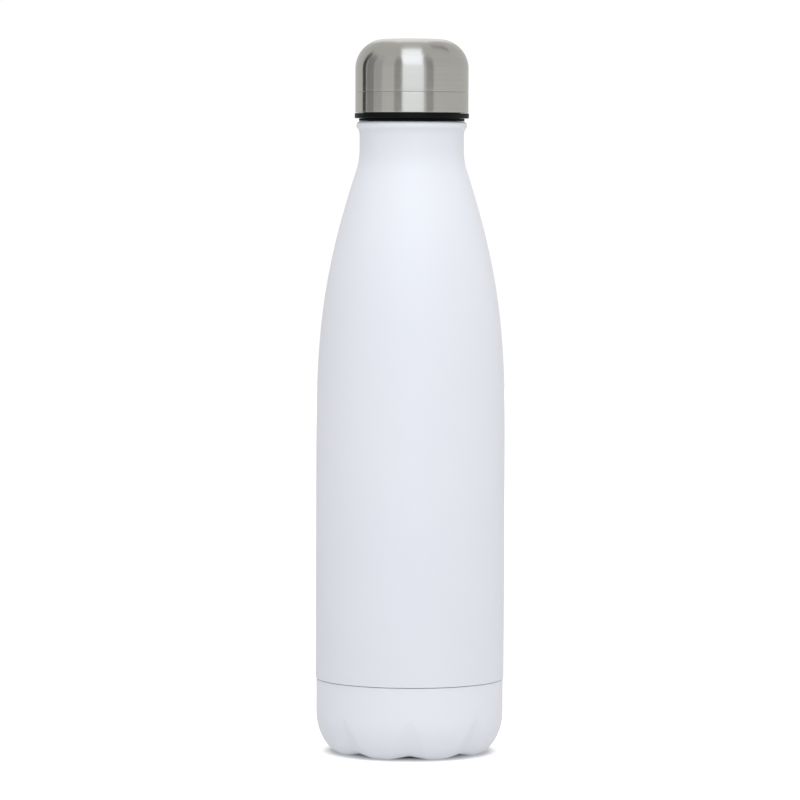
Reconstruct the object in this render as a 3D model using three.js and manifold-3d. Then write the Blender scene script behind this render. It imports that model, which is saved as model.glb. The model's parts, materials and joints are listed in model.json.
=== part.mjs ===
// Insulated water bottle: a double-walled steel flask in a slim milk-bottle shape. It stands on a base cup with
// eight pressed feet, and is closed by a screw-in stopper under a domed steel cap.
// Millimetres, +Z up. The origin is the middle of the plane that the feet stand on, and -Y is the front.

import * as THREE from "three";
import { mergeVertices } from "three/addons/utils/BufferGeometryUtils.js";
import Module from "manifold-3d";

const wasm = await Module();
wasm.setup();

// ---- Driving dimensions of the whole bottle

const HEIGHT = 264.2;
const BODY_RADIUS = 35;
const NECK_RADIUS = 19.25;
const CAP_RADIUS = 20.9;
const SHEET = 0.4; // every steel wall is sheet of this thickness
const VACUUM_GAP = 2.75; // between the two walls of the flask, along the straight body
const SEAM_HEIGHT = 27.5; // where the base cup meets the outer shell
const SEAM_GAP = 0.4;
const RIM_HEIGHT = 233.7; // top of the mouth
const CAP_FOOT_HEIGHT = 236.9; // lower edge of the steel cap
const AROUND = 32; // flat sides on a round part
const AXIS = 0;

// The screw thread of stopper and neck: right-handed, one start.
const LEAD = 4;
const THREAD_HEIGHT = 1.3;
const THREAD_SINK = 0.25; // how far a ridge's foot lies inside its wall
const THREAD_FOOT_HALF = 1; // half the ridge's width at its foot
const THREAD_CREST_HALF = 0.4;
const THREAD_TURNS = 2.25;
const FLANK_SHIFT = 0.4; // the neck's ridge sits this much nearer the flank that it pulls on
const STOPPER_THREAD_START = 216;
const NECK_THREAD_START = STOPPER_THREAD_START + LEAD / 2 - FLANK_SHIFT;

// ---- Outlines, as (radius, height) points

const at = (radius, height) => new THREE.Vector2(radius, height);

// Points on a round or elliptical stretch, from one angle to another in degrees.
function arc(centre, radiusAcross, radiusUp, fromDegrees, toDegrees, steps) {
  const from = THREE.MathUtils.degToRad(fromDegrees);
  const to = THREE.MathUtils.degToRad(toDegrees);
  const curve = new THREE.EllipseCurve(centre.x, centre.y, radiusAcross, radiusUp, from, to, to < from);
  return curve.getPoints(steps);
}

// An outline moved sideways by a distance, to the left of the way it runs.
function inset(points, distance) {
  return points.map((p, i) => {
    const before = points[Math.max(i - 1, 0)];
    const after = points[Math.min(i + 1, points.length - 1)];
    const along = after.clone().sub(before).normalize();
    const across = p.x === AXIS ? AXIS : p.x - along.y * distance;
    return at(across, p.y + along.x * distance);
  });
}

// A wall of even thickness whose outer face is the outline, with both edges closed.
function wallOf(points, thickness) {
  return [...points, ...inset(points, thickness).reverse(), points[0]];
}

// ---- Solids

// The body that an outline makes when it turns about the Z axis.
function turned(points, around = AROUND) {
  return new THREE.LatheGeometry(points, around).rotateX(Math.PI / 2);
}

function solidOf(geometry) {
  const bare = geometry.clone();
  bare.deleteAttribute("normal");
  bare.deleteAttribute("uv");
  const merged = mergeVertices(bare, 1e-4);
  const triVerts = new Uint32Array(merged.index.array);
  return new wasm.Manifold(
    new wasm.Mesh({ numProp: 3, vertProperties: merged.attributes.position.array, triVerts }),
  );
}

function joined(first, second) {
  const { vertProperties, triVerts } = solidOf(first).add(solidOf(second)).getMesh();
  return new THREE.BufferGeometry()
    .setAttribute("position", new THREE.BufferAttribute(vertProperties, 3))
    .setIndex(new THREE.BufferAttribute(triVerts, 1));
}

// A thread ridge: a straight bar of the ridge's section, wound round the Z axis on the screw's lead.
// rootRadius is the wall that it stands on, and outward is 1 on a stopper and -1 inside a neck.
// Its steps fall halfway between the wall's corners, and it fades over the last quarter turn at each end.
function threadRidge(rootRadius, outward, startHeight) {
  const section = new THREE.Shape([
    at(0, -THREAD_FOOT_HALF),
    at(THREAD_SINK + THREAD_HEIGHT, -THREAD_CREST_HALF),
    at(THREAD_SINK + THREAD_HEIGHT, THREAD_CREST_HALF),
    at(0, THREAD_FOOT_HALF),
  ]);
  const steps = Math.round(THREAD_TURNS * AROUND);
  const bar = new THREE.ExtrudeGeometry(section, { depth: THREAD_TURNS, steps, bevelEnabled: false });
  const fadeTurns = 0.25;
  const thinnest = 0.02;
  const place = bar.attributes.position;
  for (let i = 0; i < place.count; i++) {
    const turns = place.getZ(i);
    const share = Math.min(1, turns / fadeTurns, (THREAD_TURNS - turns) / fadeTurns);
    const radius = rootRadius + outward * (place.getX(i) * Math.max(share, thinnest) - THREAD_SINK);
    const angle = turns * 2 * Math.PI + Math.PI / AROUND;
    const height = startHeight + (angle / (2 * Math.PI)) * LEAD - outward * place.getY(i);
    place.setXYZ(i, radius * Math.cos(angle), radius * Math.sin(angle), height);
  }
  return bar;
}

function part(name, geometry, material) {
  const mesh = new THREE.Mesh(geometry, material);
  mesh.name = name;
  return mesh;
}

// ---- Finishes

const finish = (color, roughness, metalness) =>
  new THREE.MeshStandardMaterial({ color, roughness, metalness });

const whitePaint = finish(0xe6eaf2, 0.5, 0);
const brushedSteel = finish(0xb9b8b2, 0.32, 1);
const bareSteel = finish(0xc4c4c2, 0.4, 1);
const blackPlastic = finish(0x16171a, 0.5, 0);
const blackSilicone = finish(0x121214, 0.7, 0);
const copperFoil = finish(0xb87350, 0.3, 1);
const whiteFoam = finish(0xeeeeea, 0.9, 0);
const epoxy = finish(0xd8c9a0, 0.4, 0);
const getterMetal = finish(0x4a4a4e, 0.8, 0.6);
const sealGlass = finish(0x2c3138, 0.15, 0);

// ---- The flask's outer shell: straight body, long shoulder, neck, and a rolled bead at the rim

const SHOULDER_FOOT = 105; // the straight body ends here
const BEAD_RADIUS = 1.6;
const BEAD_CENTRE = at(18.85, RIM_HEIGHT - BEAD_RADIUS);
const BEAD_FOOT = 229.3;
const RIM_INNER_RADIUS = 18;

// Half of a flask wall's section: a straight body, a long cubic curve that leaves it upright, and a sweep
// into an upright neck.
function flaskOutline({ footHeight, bodyRadius, neckRadius, neckFoot, sweepRadius, points }) {
  const sweepDegrees = 18;
  const handle = 45;
  const centre = at(neckRadius + sweepRadius, neckFoot);
  const sweep = arc(centre, sweepRadius, sweepRadius, 180 + sweepDegrees, 180, 2);
  const slope = THREE.MathUtils.degToRad(sweepDegrees);
  const shoulder = new THREE.CubicBezierCurve(
    at(bodyRadius, SHOULDER_FOOT),
    at(bodyRadius, SHOULDER_FOOT + handle),
    at(sweep[0].x + handle * Math.sin(slope), sweep[0].y - handle * Math.cos(slope)),
    sweep[0],
  );
  return [at(bodyRadius, footHeight), ...shoulder.getPoints(points), ...sweep.slice(1)];
}

function outerShell() {
  const body = flaskOutline({
    footHeight: SEAM_HEIGHT + SEAM_GAP / 2,
    bodyRadius: BODY_RADIUS,
    neckRadius: NECK_RADIUS,
    neckFoot: 223.2,
    sweepRadius: 25,
    points: 8,
  });
  const outline = [
    ...body,
    at(NECK_RADIUS, BEAD_FOOT),
    ...arc(BEAD_CENTRE, BEAD_RADIUS, BEAD_RADIUS, -35, 90, 4),
    at(RIM_INNER_RADIUS, RIM_HEIGHT),
  ];
  return part("outer_shell", turned(wallOf(outline, SHEET)), whitePaint);
}

// ---- The inner liner: inside the shell at the vacuum gap, with the neck's thread rolled into it

const LINER_BODY_RADIUS = BODY_RADIUS - SHEET - VACUUM_GAP;
const LINER_NECK_RADIUS = NECK_RADIUS - SHEET - VACUUM_GAP;
const LINER_FOOT = 27.6; // where the liner's bottom is welded on
const MOUTH_CURVE_RADIUS = 3.4;
const MOUTH_CURVE_FOOT = 229.4;

function innerLiner() {
  const body = flaskOutline({
    footHeight: LINER_FOOT,
    bodyRadius: LINER_BODY_RADIUS,
    neckRadius: LINER_NECK_RADIUS,
    neckFoot: 213,
    sweepRadius: 14,
    points: 6,
  });
  const mouthCentre = at(LINER_NECK_RADIUS + MOUTH_CURVE_RADIUS, MOUTH_CURVE_FOOT);
  const mouth = arc(mouthCentre, MOUTH_CURVE_RADIUS, MOUTH_CURVE_RADIUS, 180, 118, 2);
  const wall = turned(wallOf([...body, ...mouth], SHEET));
  const ridge = threadRidge(LINER_NECK_RADIUS - SHEET, -1, NECK_THREAD_START);
  return part("inner_liner", joined(wall, ridge), bareSteel);
}

function linerBottom() {
  const corner = 8;
  const floor = 17;
  const outline = [
    at(AXIS, floor + 1.4),
    at(10, floor + 1.1),
    ...arc(at(LINER_BODY_RADIUS - corner, floor + corner), corner, corner, 270, 360, 3),
    at(LINER_BODY_RADIUS, LINER_FOOT - 0.3),
  ];
  return part("liner_bottom", turned([...outline, ...inset(outline, SHEET).reverse()]), bareSteel);
}

// A sheet of copper foil wound round the liner's straight body, which turns back radiant heat.
function foilWrap() {
  const inner = LINER_BODY_RADIUS + 0.3;
  const outer = inner + 0.2;
  const foot = LINER_FOOT + 2.4;
  const top = SHOULDER_FOOT + 3;
  const ring = [at(inner, foot), at(outer, foot), at(outer, top), at(inner, top), at(inner, foot)];
  return part("copper_foil_wrap", turned(ring), copperFoil);
}

// ---- The plate that closes the vacuum space, with what keeps the vacuum

const PLATE_HEIGHT = 12;
const PORT_RADIUS = 0.8; // hole that the air was drawn out of
const DIMPLE_DEPTH = 2;
const SKIRT_RADIUS = 33.6;
const SKIRT_TOP = 33;

function vacuumPlate() {
  const corner = 7;
  const outline = [
    at(PORT_RADIUS, PLATE_HEIGHT + DIMPLE_DEPTH),
    at(3.6, PLATE_HEIGHT + DIMPLE_DEPTH),
    at(5.6, PLATE_HEIGHT),
    ...arc(at(SKIRT_RADIUS - corner, PLATE_HEIGHT + corner), corner, corner, 270, 360, 3),
    at(SKIRT_RADIUS, SEAM_HEIGHT - 0.9),
    at(BODY_RADIUS - SHEET - 0.3, SEAM_HEIGHT + 0.9),
    at(BODY_RADIUS - SHEET - 0.3, SKIRT_TOP),
  ];
  return part("vacuum_base_plate", turned(wallOf(outline, SHEET)), bareSteel);
}

// A bead of solder glass melted over the port once the air is out.
function sealBead() {
  const ceiling = PLATE_HEIGHT + DIMPLE_DEPTH - 0.3;
  const radius = 2.9;
  const drop = arc(at(AXIS, ceiling - 0.4), radius, 0.9, 270, 360, 3);
  const section = [...drop, at(radius - 0.2, ceiling), at(AXIS, ceiling)];
  return part("port_seal_bead", turned(section, 16), sealGlass);
}

const GETTER_PLACE = 15; // out from the axis, on the plate's inner face
const GETTER_RADIUS = 4;
const GETTER_FLOOR = PLATE_HEIGHT + SHEET + 0.3;
const GETTER_THICKNESS = 2;

function getterPill() {
  const top = GETTER_FLOOR + GETTER_THICKNESS;
  const section = [
    at(AXIS, GETTER_FLOOR),
    at(GETTER_RADIUS, GETTER_FLOOR),
    at(GETTER_RADIUS, top),
    at(AXIS, top),
  ];
  const pill = part("getter_pill", turned(section, 16), getterMetal);
  pill.position.x = GETTER_PLACE;
  return pill;
}

// A bent strip, welded to the plate by its two feet, that holds the getter down.
function getterClip() {
  const strip = 0.3;
  const width = 3;
  const half = GETTER_RADIUS + 0.4;
  const top = GETTER_FLOOR + GETTER_THICKNESS + 0.3;
  const footEnd = half + 2.5;
  const underside = [at(footEnd, GETTER_FLOOR), at(half, GETTER_FLOOR), at(half, top)];
  const upperSide = [
    at(half + strip, top + strip),
    at(half + strip, GETTER_FLOOR + strip),
    at(footEnd, GETTER_FLOOR + strip),
  ];
  const mirrored = (points) => points.map((p) => at(-p.x, p.y)).reverse();
  const section = new THREE.Shape([
    ...underside,
    ...mirrored(underside),
    ...mirrored(upperSide),
    ...upperSide,
  ]);
  const geometry = new THREE.ExtrudeGeometry(section, { depth: width, bevelEnabled: false });
  geometry.translate(0, 0, -width / 2).rotateX(Math.PI / 2);
  const clip = part("getter_clip", geometry, bareSteel);
  clip.position.x = GETTER_PLACE;
  return clip;
}

// ---- The base cup: a pressed cup whose corner is cut by eight wedge-shaped valleys, which leaves eight feet

const FEET = 8;
const CUP_RADIUS = BODY_RADIUS - 0.3;
const CUP_AROUND = FEET * 6;
const CORNER_ACROSS = 9.5;
const CORNER_UP = 14.5;
const LAND_OUTER_RADIUS = CUP_RADIUS - CORNER_ACROSS;
const LAND_INNER_RADIUS = 21.6;
const DISH_HEIGHT = 5;
const VALLEY_TOP = 15.8; // where a valley runs out to a point
const VALLEY_DEPTH = 2.2;
const VALLEY_HALF_ANGLE = THREE.MathUtils.degToRad(14.5);
const VALLEY_FADE = 10; // the valleys fade out over this width, inwards from the feet
const VALLEY_EASE = 0.4; // how much of their depth they lose towards the floor

// How deep the valleys cut at a point: a straight slope up to both flanks, and deepest a little above the floor.
function valleyDepth(radius, angle, height) {
  const down = THREE.MathUtils.clamp((VALLEY_TOP - height) / VALLEY_TOP, 0, 1);
  const outwards = THREE.MathUtils.smoothstep(radius, LAND_INNER_RADIUS - VALLEY_FADE, LAND_INNER_RADIUS);
  const pitch = (2 * Math.PI) / FEET;
  const offValley = Math.abs(angle - pitch * Math.round(angle / pitch));
  const eased = VALLEY_DEPTH * (1 - VALLEY_EASE * down ** 3);
  return Math.max(0, eased * (down * outwards - offValley / VALLEY_HALF_ANGLE));
}

// Moves each point of the cup inwards by the valleys' depth, square to the elliptical corner. Above the corner
// the wall is upright, and the least drop below its top only keeps the direction defined.
const LEAST_DROP = 0.001;
function pressValleys(geometry) {
  const place = geometry.attributes.position;
  for (let i = 0; i < place.count; i++) {
    const [x, y, height] = [place.getX(i), place.getY(i), place.getZ(i)];
    const radius = Math.hypot(x, y);
    const depth = valleyDepth(radius, Math.atan2(x, -y), height);
    if (depth === 0) continue;
    const across = Math.max(radius - LAND_OUTER_RADIUS, 0) / CORNER_ACROSS ** 2;
    const down = Math.max(CORNER_UP - height, LEAST_DROP) / CORNER_UP ** 2;
    const length = Math.hypot(across, down);
    const shrink = 1 - (depth * across) / (length * radius);
    place.setXYZ(i, x * shrink, y * shrink, height + (depth * down) / length);
  }
  return geometry;
}

function baseCup() {
  const outline = [
    at(AXIS, DISH_HEIGHT),
    at(9, DISH_HEIGHT - 0.4),
    at(16, 3.2),
    at(19.6, 0.9),
    at(LAND_INNER_RADIUS, 0),
    ...arc(at(LAND_OUTER_RADIUS, CORNER_UP), CORNER_ACROSS, CORNER_UP, 270, 360, 5),
    at(CUP_RADIUS, VALLEY_TOP + 0.6),
    at(CUP_RADIUS, SEAM_HEIGHT - SEAM_GAP / 2),
  ];
  const geometry = turned([...outline, ...inset(outline, SHEET).reverse()], CUP_AROUND);
  return part("base_cup", pressValleys(geometry), whitePaint);
}

// A ring of epoxy that bonds the cup over the plate's skirt.
function baseBond() {
  const inner = SKIRT_RADIUS + 0.1;
  const outer = CUP_RADIUS - SHEET - 0.1;
  const foot = 19.5;
  const top = SEAM_HEIGHT - 1.5;
  const ring = [at(inner, foot), at(outer, foot), at(outer, top), at(inner, top), at(inner, foot)];
  return part("base_bond_ring", turned(ring, CUP_AROUND), epoxy);
}

// ---- The lid: steel cap, plastic cap insert, threaded stopper with its foam, and the sealing gasket

const CAP_CORNER_RADIUS = 10.8;
const CAP_CROWN_RADIUS = 190;
const CAP_GROOVE_HEIGHT = 244.5;
const CAP_GROOVE_DEPTH = 0.25;
const INSERT_WALL = 1.5;
const INSERT_INSET = 1.1; // from the cap's outer face to the plastic insert
const FLANGE_RADIUS = 21.1;
const FLANGE_FOOT = 234.8;
const FLANGE_TOP = CAP_FOOT_HEIGHT - 0.2;
const INSERT_FOOT = CAP_FOOT_HEIGHT + 0.2;
const STOPPER_FOOT = 212.8;
const STOPPER_RADIUS = 13.9;
const STOPPER_WALL = 1.6;
const SPIGOT_RADIUS = 18; // the collar that the cap insert is welded to
const SPIGOT_WALL = 1.4;
const SPIGOT_TOP = 242;

// The cap's dome, set in by a distance: a round corner, and a crown that blends into it.
function domeOutline(setIn) {
  const cornerAcross = CAP_RADIUS - CAP_CORNER_RADIUS;
  const cornerUp = Math.sqrt((CAP_CROWN_RADIUS - CAP_CORNER_RADIUS) ** 2 - cornerAcross ** 2);
  const crownCentre = at(AXIS, HEIGHT - CAP_CROWN_RADIUS);
  const cornerCentre = at(cornerAcross, crownCentre.y + cornerUp);
  const meets = THREE.MathUtils.radToDeg(Math.atan2(cornerUp, cornerAcross));
  const cornerRadius = CAP_CORNER_RADIUS - setIn;
  const crownRadius = CAP_CROWN_RADIUS - setIn;
  const corner = arc(cornerCentre, cornerRadius, cornerRadius, 0, meets, 4);
  const crown = arc(crownCentre, crownRadius, crownRadius, meets, 90, 2);
  return [...corner, crown[1], at(AXIS, crownCentre.y + crownRadius)];
}

function capShell() {
  const inside = [...domeOutline(SHEET).reverse(), at(CAP_RADIUS - SHEET, CAP_FOOT_HEIGHT)];
  const outside = [
    at(CAP_RADIUS, CAP_FOOT_HEIGHT),
    at(CAP_RADIUS, CAP_GROOVE_HEIGHT - 0.4),
    at(CAP_RADIUS - CAP_GROOVE_DEPTH, CAP_GROOVE_HEIGHT),
    at(CAP_RADIUS, CAP_GROOVE_HEIGHT + 0.4),
    ...domeOutline(0),
  ];
  return part("cap_shell", turned([...inside, ...outside]), brushedSteel);
}

// A ring of hot-melt glue between the steel cap and its insert.
function capBond() {
  const outer = CAP_RADIUS - SHEET - 0.15;
  const inner = CAP_RADIUS - INSERT_INSET + 0.15;
  const foot = CAP_FOOT_HEIGHT + 1.5;
  const top = foot + 5;
  const ring = [at(inner, foot), at(outer, foot), at(outer, top), at(inner, top), at(inner, foot)];
  return part("cap_bond_ring", turned(ring), epoxy);
}

function capInsert() {
  const innerInset = INSERT_INSET + INSERT_WALL;
  const inside = [...domeOutline(innerInset).reverse(), at(CAP_RADIUS - innerInset, INSERT_FOOT)];
  const outside = [at(CAP_RADIUS - INSERT_INSET, INSERT_FOOT), ...domeOutline(INSERT_INSET)];
  return part("cap_insert", turned([...inside, ...outside]), blackPlastic);
}

function stopperBody() {
  const bore = STOPPER_RADIUS - STOPPER_WALL;
  const floor = STOPPER_FOOT + STOPPER_WALL + 0.6;
  const chamfer = 1.2;
  const outline = [
    at(AXIS, STOPPER_FOOT + 0.6),
    at(10.4, STOPPER_FOOT + 0.6),
    at(11, STOPPER_FOOT),
    at(STOPPER_RADIUS - chamfer, STOPPER_FOOT),
    at(STOPPER_RADIUS, STOPPER_FOOT + chamfer),
    at(STOPPER_RADIUS, FLANGE_FOOT),
    at(FLANGE_RADIUS, FLANGE_FOOT),
    at(FLANGE_RADIUS, FLANGE_TOP - 0.3),
    at(FLANGE_RADIUS - 0.3, FLANGE_TOP),
    at(SPIGOT_RADIUS, FLANGE_TOP),
    at(SPIGOT_RADIUS, SPIGOT_TOP),
    at(SPIGOT_RADIUS - SPIGOT_WALL, SPIGOT_TOP),
    at(SPIGOT_RADIUS - SPIGOT_WALL, FLANGE_TOP),
    at(bore, FLANGE_TOP),
    at(bore, floor),
    at(AXIS, floor),
  ];
  const ridge = threadRidge(STOPPER_RADIUS, 1, STOPPER_THREAD_START);
  return part("stopper_body", joined(turned(outline), ridge), blackPlastic);
}

// The foam that fills the stopper and the insert above it.
function stopperFoam() {
  const gap = 0.3;
  const foot = STOPPER_FOOT + STOPPER_WALL + 0.6 + gap;
  const lower = STOPPER_RADIUS - STOPPER_WALL - gap;
  const upper = SPIGOT_RADIUS - SPIGOT_WALL - gap;
  const outline = [
    at(AXIS, foot),
    at(lower, foot),
    at(lower, FLANGE_TOP + gap),
    at(upper, FLANGE_TOP + gap),
    at(upper, 252),
    at(upper - 5, 257),
    at(AXIS, 257),
  ];
  return part("stopper_foam", turned(outline), whiteFoam);
}

function gasket() {
  const inner = STOPPER_RADIUS + 0.4;
  const outer = 19.5;
  const foot = RIM_HEIGHT + 0.1;
  const top = FLANGE_FOOT - 0.1;
  const ring = [at(inner, foot), at(outer, foot), at(outer, top), at(inner, top), at(inner, foot)];
  return part("sealing_gasket", turned(ring), blackSilicone);
}

// ---- The assembly

const bottle = new THREE.Group();
bottle.add(
  outerShell(),
  innerLiner(),
  linerBottom(),
  foilWrap(),
  vacuumPlate(),
  sealBead(),
  getterPill(),
  getterClip(),
  baseCup(),
  baseBond(),
);

const lid = new THREE.Group();
lid.add(capShell(), capBond(), capInsert(), stopperBody(), stopperFoam(), gasket());

const assembly = new THREE.Group();
assembly.add(bottle, lid);

export default assembly;
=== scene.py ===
# Insulated water bottle: a white powder-coated vacuum flask with a footed base cup, and a screw-in stopper
# under a brushed steel cap. Sizes are in millimetres until a mesh is made, and Blender's are in metres.
import json
import math

import bmesh
import bpy
import numpy as np
from mathutils import Matrix, Vector


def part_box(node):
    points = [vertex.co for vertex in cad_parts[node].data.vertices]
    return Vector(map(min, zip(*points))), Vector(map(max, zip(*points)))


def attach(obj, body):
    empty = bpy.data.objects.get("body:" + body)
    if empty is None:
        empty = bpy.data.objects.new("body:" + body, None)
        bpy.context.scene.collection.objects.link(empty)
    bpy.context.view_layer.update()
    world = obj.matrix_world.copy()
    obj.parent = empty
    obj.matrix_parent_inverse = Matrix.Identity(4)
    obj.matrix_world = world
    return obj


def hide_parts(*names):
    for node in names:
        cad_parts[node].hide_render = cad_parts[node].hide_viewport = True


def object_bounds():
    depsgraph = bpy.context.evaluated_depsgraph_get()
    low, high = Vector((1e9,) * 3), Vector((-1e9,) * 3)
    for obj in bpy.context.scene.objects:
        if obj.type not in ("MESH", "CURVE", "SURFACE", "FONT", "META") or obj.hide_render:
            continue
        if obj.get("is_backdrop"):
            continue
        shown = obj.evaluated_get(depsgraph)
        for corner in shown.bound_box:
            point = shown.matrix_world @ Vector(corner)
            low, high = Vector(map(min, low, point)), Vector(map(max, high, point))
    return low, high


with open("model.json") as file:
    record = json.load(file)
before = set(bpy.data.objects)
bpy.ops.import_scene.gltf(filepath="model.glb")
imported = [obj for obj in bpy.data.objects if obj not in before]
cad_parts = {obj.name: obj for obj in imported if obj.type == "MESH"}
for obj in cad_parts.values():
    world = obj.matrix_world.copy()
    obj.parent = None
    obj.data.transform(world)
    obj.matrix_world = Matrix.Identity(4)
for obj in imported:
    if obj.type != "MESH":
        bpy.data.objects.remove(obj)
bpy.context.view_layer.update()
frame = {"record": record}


# ---- Outer shell -----------------------------------------------------------------------------------------
# The flask's outside wall: stainless sheet, hydroformed into the shoulder and neck, with its mouth rolled
# over into a bead. It is powder-coated white and baked, which leaves a satin skin with faint orange peel.

MM = 0.001
AROUND = 192
FINE_AROUND = 256
SHEET = 0.4
SHARP_ANGLE = math.radians(40)


def extents(node):
    """Outer radius, lowest height and highest height of a round CAD piece, in millimetres."""
    low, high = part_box(node)
    return high.x / MM, low.z / MM, high.z / MM


def arc(centre, radii, degrees, steps=12):
    """Points at centre + (across * cos t, up * sin t), with t in even steps between the two angles."""
    t = np.radians(np.linspace(*degrees, steps + 1))
    return np.array(centre) + np.column_stack((radii[0] * np.cos(t), radii[1] * np.sin(t)))


def bezier(corners, steps=72):
    """Cubic curve: the four corners weighted by (1-t)^3, 3t(1-t)^2, 3t^2(1-t) and t^3."""
    t = np.linspace(0, 1, steps + 1)[:, None]
    weights = ((1 - t) ** 3, 3 * t * (1 - t) ** 2, 3 * t**2 * (1 - t), t**3)
    return sum(weight * np.array(corner) for weight, corner in zip(weights, corners))


def rounded(points, radius, steps=5):
    """Each inner corner C becomes (1-t)^2 A + 2t(1-t) C + t^2 B, where A and B lie on the corner's two
    sides, a radius away from it or half a side where that is shorter."""
    points = np.array(points, float)
    corner = points[1:-1]
    t = np.linspace(0, 1, steps + 1)[None, :, None]

    def side(other):
        away = other - corner
        length = np.linalg.norm(away, axis=1)[:, None]
        return (corner + away / length * np.minimum(radius, length / 2))[:, None, :]

    curve = (1 - t) ** 2 * side(points[:-2]) + 2 * t * (1 - t) * corner[:, None, :] + t**2 * side(points[2:])
    return np.vstack((points[:1], curve.reshape(-1, 2), points[-1:]))


EDGE_STEPS = 6


def sheet_wall(outline, thickness=SHEET):
    """Section of a sheet: the outline, a half-round edge, the outline moved left by the thickness, and the
    other half-round edge."""
    along = np.gradient(outline, axis=0)
    along /= np.linalg.norm(along, axis=1)[:, None]
    left = np.column_stack((-along[:, 1], along[:, 0]))
    half = thickness / 2
    turn = np.linspace(0, np.pi, EDGE_STEPS + 1)[:, None]

    def edge(end, way):
        round_edge = way * (np.sin(turn) * along[end] - np.cos(turn) * left[end])
        return outline[end] + half * (left[end] + round_edge)

    inner = outline + left * thickness
    return np.vstack((outline[:-1], edge(-1, 1), inner[-2:0:-1], edge(0, -1)))


def piece_of(mesh, body):
    """Shades a mesh smooth up to its sharp edges, and makes it a piece that rides on a body."""
    mesh.shade_smooth()
    mesh.set_sharp_from_angle(angle=SHARP_ANGLE)
    piece = bpy.data.objects.new(mesh.name, mesh)
    bpy.context.scene.collection.objects.link(piece)
    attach(piece, body)
    return piece


def turned(name, outline, body, press=None, around=AROUND):
    """A surface of revolution: angle a and outline point (r, z) give (r sin a, -r cos a, z). press(a, r, z)
    may give each point a new r and z. The UV map holds the turn and the way along the outline in metres.
    The outline keeps the material on its left, so that the faces point outwards."""
    outline = np.array(outline, float)
    rows = len(outline)
    angle, row = np.meshgrid(np.arange(around) * 2 * np.pi / around, np.arange(rows))
    radius, height = outline[row, 0], outline[row, 1]
    if press:
        radius, height = press(angle, radius, height)
    places = np.stack((radius * np.sin(angle), -radius * np.cos(angle), height), axis=-1) * MM
    k, j = (grid.ravel() for grid in np.meshgrid(np.arange(rows - 1), np.arange(around), indexing="ij"))
    after = (j + 1) % around
    faces = np.stack((k * around + j, k * around + after, (k + 1) * around + after, (k + 1) * around + j), 1)
    way = np.append(0, np.cumsum(np.linalg.norm(np.diff(outline, axis=0), axis=1))) * MM
    turns = np.stack((j, j + 1, j + 1, j), 1) / around
    ways = way[np.stack((k, k, k + 1, k + 1), 1)]

    mesh = bpy.data.meshes.new(name)
    mesh.from_pydata(places.reshape(-1, 3), [], faces)
    mesh.uv_layers.new(name="around_and_along")
    mesh.uv_layers[0].data.foreach_set("uv", np.stack((turns, ways), -1).astype(np.float32).ravel())
    merged = bmesh.new()
    merged.from_mesh(mesh)
    bmesh.ops.remove_doubles(merged, verts=merged.verts, dist=1e-7)
    bmesh.ops.dissolve_degenerate(merged, edges=merged.edges, dist=1e-8)
    merged.to_mesh(mesh)
    merged.free()
    return piece_of(mesh, body)


def linear(hex_colour):
    """An sRGB hex colour in linear light: c / 12.92 up to 0.04045, else ((c + 0.055) / 1.055) ^ 2.4."""
    c = np.array([int(hex_colour[i : i + 2], 16) for i in (1, 3, 5)]) / 255
    return (*np.where(c <= 0.04045, c / 12.92, ((c + 0.055) / 1.055) ** 2.4).tolist(), 1.0)


def add(tree, kind, inputs=None, **settings):
    """Adds a node with its settings. Its inputs are values, or other nodes' output sockets to link."""
    node = tree.nodes.new("ShaderNode" + kind)
    for name, value in settings.items():
        setattr(node, name, value)
    for name, value in (inputs or {}).items():
        if isinstance(value, bpy.types.NodeSocket):
            tree.links.new(value, node.inputs[name])
        else:
            node.inputs[name].default_value = value
    return node


def new_material(name):
    """An empty material, and its node tree with an output."""
    material = bpy.data.materials.new(name)
    material.use_nodes = True
    material.node_tree.nodes.clear()
    return material, material.node_tree


def two_tone(tree, factor, first, second, start=0.0, end=1.0):
    """A colour ramp from the first linear colour to the second, between two places along the factor."""
    ramp = add(tree, "ValToRGB", {"Fac": factor})
    for element, position, colour in zip(ramp.color_ramp.elements, (start, end), (first, second)):
        element.position = position
        element.color = colour
    return ramp.outputs["Color"]


def principled(tree, inputs):
    """Adds the surface shader with its inputs, and links it to the material's output."""
    shader = add(tree, "BsdfPrincipled", inputs)
    add(tree, "OutputMaterial", {"Surface": shader.outputs["BSDF"]})


def powder_coat():
    """Polyester powder coat, baked on steel: a hard satin white. Its grains melt into a skin with gentle
    orange peel about 2 mm across, and a much finer grain of about 0.3 mm that blurs its reflections."""
    material, tree = new_material("white_powder_coat")
    place = add(tree, "TexCoord").outputs["Object"]
    peel = add(tree, "TexNoise", {"Vector": place, "Scale": 1 / 0.002, "Detail": 2.0, "Roughness": 0.4})
    grain = add(tree, "TexNoise", {"Vector": place, "Scale": 1 / 0.0003, "Detail": 3.0})
    drift = add(tree, "TexNoise", {"Vector": place, "Scale": 1 / 0.06, "Detail": 1.0})
    colour = two_tone(tree, drift.outputs["Fac"], linear("#EEF0F8"), linear("#F1F3FA"), 0.3, 0.7)
    roughness = add(tree, "MapRange", {"Value": grain.outputs["Fac"], "To Min": 0.42, "To Max": 0.54})
    coarse = add(tree, "Bump", {"Height": peel.outputs["Fac"], "Distance": 0.00002, "Strength": 0.6})
    fine_inputs = {"Height": grain.outputs["Fac"], "Distance": 0.000006, "Strength": 0.5}
    fine = add(tree, "Bump", {**fine_inputs, "Normal": coarse.outputs["Normal"]})
    inputs = {
        "Base Color": colour,
        "Roughness": roughness.outputs["Result"],
        "IOR": 1.5,
        "Normal": fine.outputs["Normal"],
    }
    principled(tree, inputs)
    return material


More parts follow.
